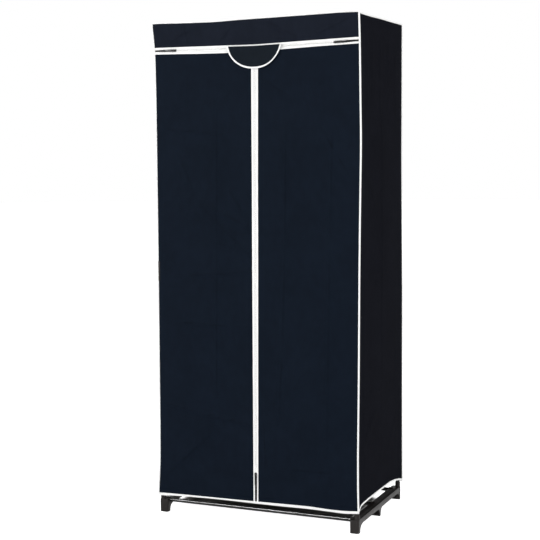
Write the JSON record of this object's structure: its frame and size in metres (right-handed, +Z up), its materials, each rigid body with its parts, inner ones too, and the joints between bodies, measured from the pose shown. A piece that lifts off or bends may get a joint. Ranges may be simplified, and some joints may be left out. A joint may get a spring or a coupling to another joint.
{
  "type": "portable fabric wardrobe",
  "caption": "Portable wardrobe: tube frame on moulded rails with a hanging rail, under a zipped fabric cover with contrasting piping.",
  "frame": {"origin": "centre of the footprint on the floor, between the feet", "axes": "+Z up; +X to the right of someone facing the doors; -Y the front, where the doors are"},
  "size_m": [0.706, 0.4578, 1.6],
  "materials": {
    "cover_cloth": "matt navy non-woven cloth",
    "white_binding": "white woven binding and piping",
    "zip_tape": "white zip tape with nylon coil",
    "zip_metal": "black enamel",
    "frame_tube": "satin black powder coat",
    "rail_plastic": "black moulded plastic"
  },
  "bodies": {
    "frame": {"base_rail_left": "rail_plastic", "top_rail_left": "rail_plastic", "base_rail_right": "rail_plastic", "top_rail_right": "rail_plastic", "base_tube_front": "frame_tube", "base_tube_middle": "frame_tube", "base_tube_rear": "frame_tube", "top_tube_front": "frame_tube", "hanging_rail": "frame_tube", "top_tube_rear": "frame_tube", "lower_upright_front_left": "frame_tube", "upper_upright_front_left": "frame_tube", "joiner_front_left": "rail_plastic", "lower_upright_rear_left": "frame_tube", "upper_upright_rear_left": "frame_tube", "joiner_rear_left": "rail_plastic", "lower_upright_front_right": "frame_tube", "upper_upright_front_right": "frame_tube", "joiner_front_right": "rail_plastic", "lower_upright_rear_right": "frame_tube", "upper_upright_rear_right": "frame_tube", "joiner_rear_right": "rail_plastic", "cover_top": "cover_cloth", "cover_back": "cover_cloth", "cover_left": "cover_cloth", "cover_right": "cover_cloth", "cover_valance": "cover_cloth", "hem_left": "white_binding", "hem_right": "white_binding", "hem_back": "white_binding", "top_piping_front": "white_binding", "top_piping_rear": "white_binding", "top_piping_left": "white_binding", "top_piping_right": "white_binding", "corner_piping_front_left": "white_binding", "corner_piping_rear_left": "white_binding", "corner_piping_front_right": "white_binding", "corner_piping_rear_right": "white_binding", "zip_tape_valance_left": "zip_tape", "zip_tape_valance_right": "zip_tape"},
    "door_left": {"door_left_panel": "cover_cloth", "door_left_hem": "white_binding", "door_left_top_tape": "zip_tape", "door_left_zip_tape": "zip_tape"},
    "door_right": {"door_right_panel": "cover_cloth", "door_right_hem": "white_binding", "door_right_top_tape": "zip_tape", "door_right_zip_tape": "zip_tape"},
    "slider_left": {"slider_left": "zip_metal"},
    "pull_left": {"pull_left": "zip_metal"},
    "slider_right": {"slider_right": "zip_metal"},
    "pull_right": {"pull_right": "zip_metal"},
    "slider_centre": {"slider_centre": "zip_metal"},
    "pull_centre": {"pull_centre": "zip_metal"},
    "flap": {"flap_panel": "cover_cloth", "flap_binding": "white_binding"}
  },
  "joints": [
    {"name": "door_left_hinge", "type": "hinge", "parent": "frame", "child": "door_left", "pos_m": [-0.3467, -0.2285, 0.78], "axis": [0, 0, -1], "range_deg": [0, 170], "deforming": ["flap_panel", "flap_binding"]},
    {"name": "door_right_hinge", "type": "hinge", "parent": "frame", "child": "door_right", "pos_m": [0.3467, -0.2285, 0.78], "axis": [0, 0, 1], "range_deg": [0, 170]},
    {"name": "slider_left_slide", "type": "slide", "parent": "door_left", "child": "slider_left", "axis": [1, 0, -0.0098], "range_m": [0, 0.26]},
    {"name": "slider_right_slide", "type": "slide", "parent": "door_right", "child": "slider_right", "axis": [-0.9997, 0, -0.0263], "range_m": [0, 0.25]},
    {"name": "slider_centre_slide", "type": "slide", "parent": "door_right", "child": "slider_centre", "axis": [0.0048, 0, 1], "range_m": [0, 1.308]},
    {"name": "pull_left_hinge", "type": "hinge", "parent": "slider_left", "child": "pull_left", "pos_m": [-0.26984, -0.2279, 1.50772], "axis": [0, 0, 1], "range_deg": [0, 170]},
    {"name": "pull_right_hinge", "type": "hinge", "parent": "slider_right", "child": "pull_right", "pos_m": [0.27684, -0.2279, 1.51207], "axis": [0, 0, -1], "range_deg": [0, 170]},
    {"name": "pull_centre_hinge", "type": "hinge", "parent": "slider_centre", "child": "pull_centre", "pos_m": [0.00197, -0.2279, 0.15616], "axis": [-1, 0, 0], "range_deg": [0, 170]},
    {"name": "flap_hinge", "type": "hinge", "parent": "frame", "child": "flap", "pos_m": [0.0085, -0.2275, 1.5125], "axis": [-1, 0, 0], "range_deg": [0, 150]}
  ]
}
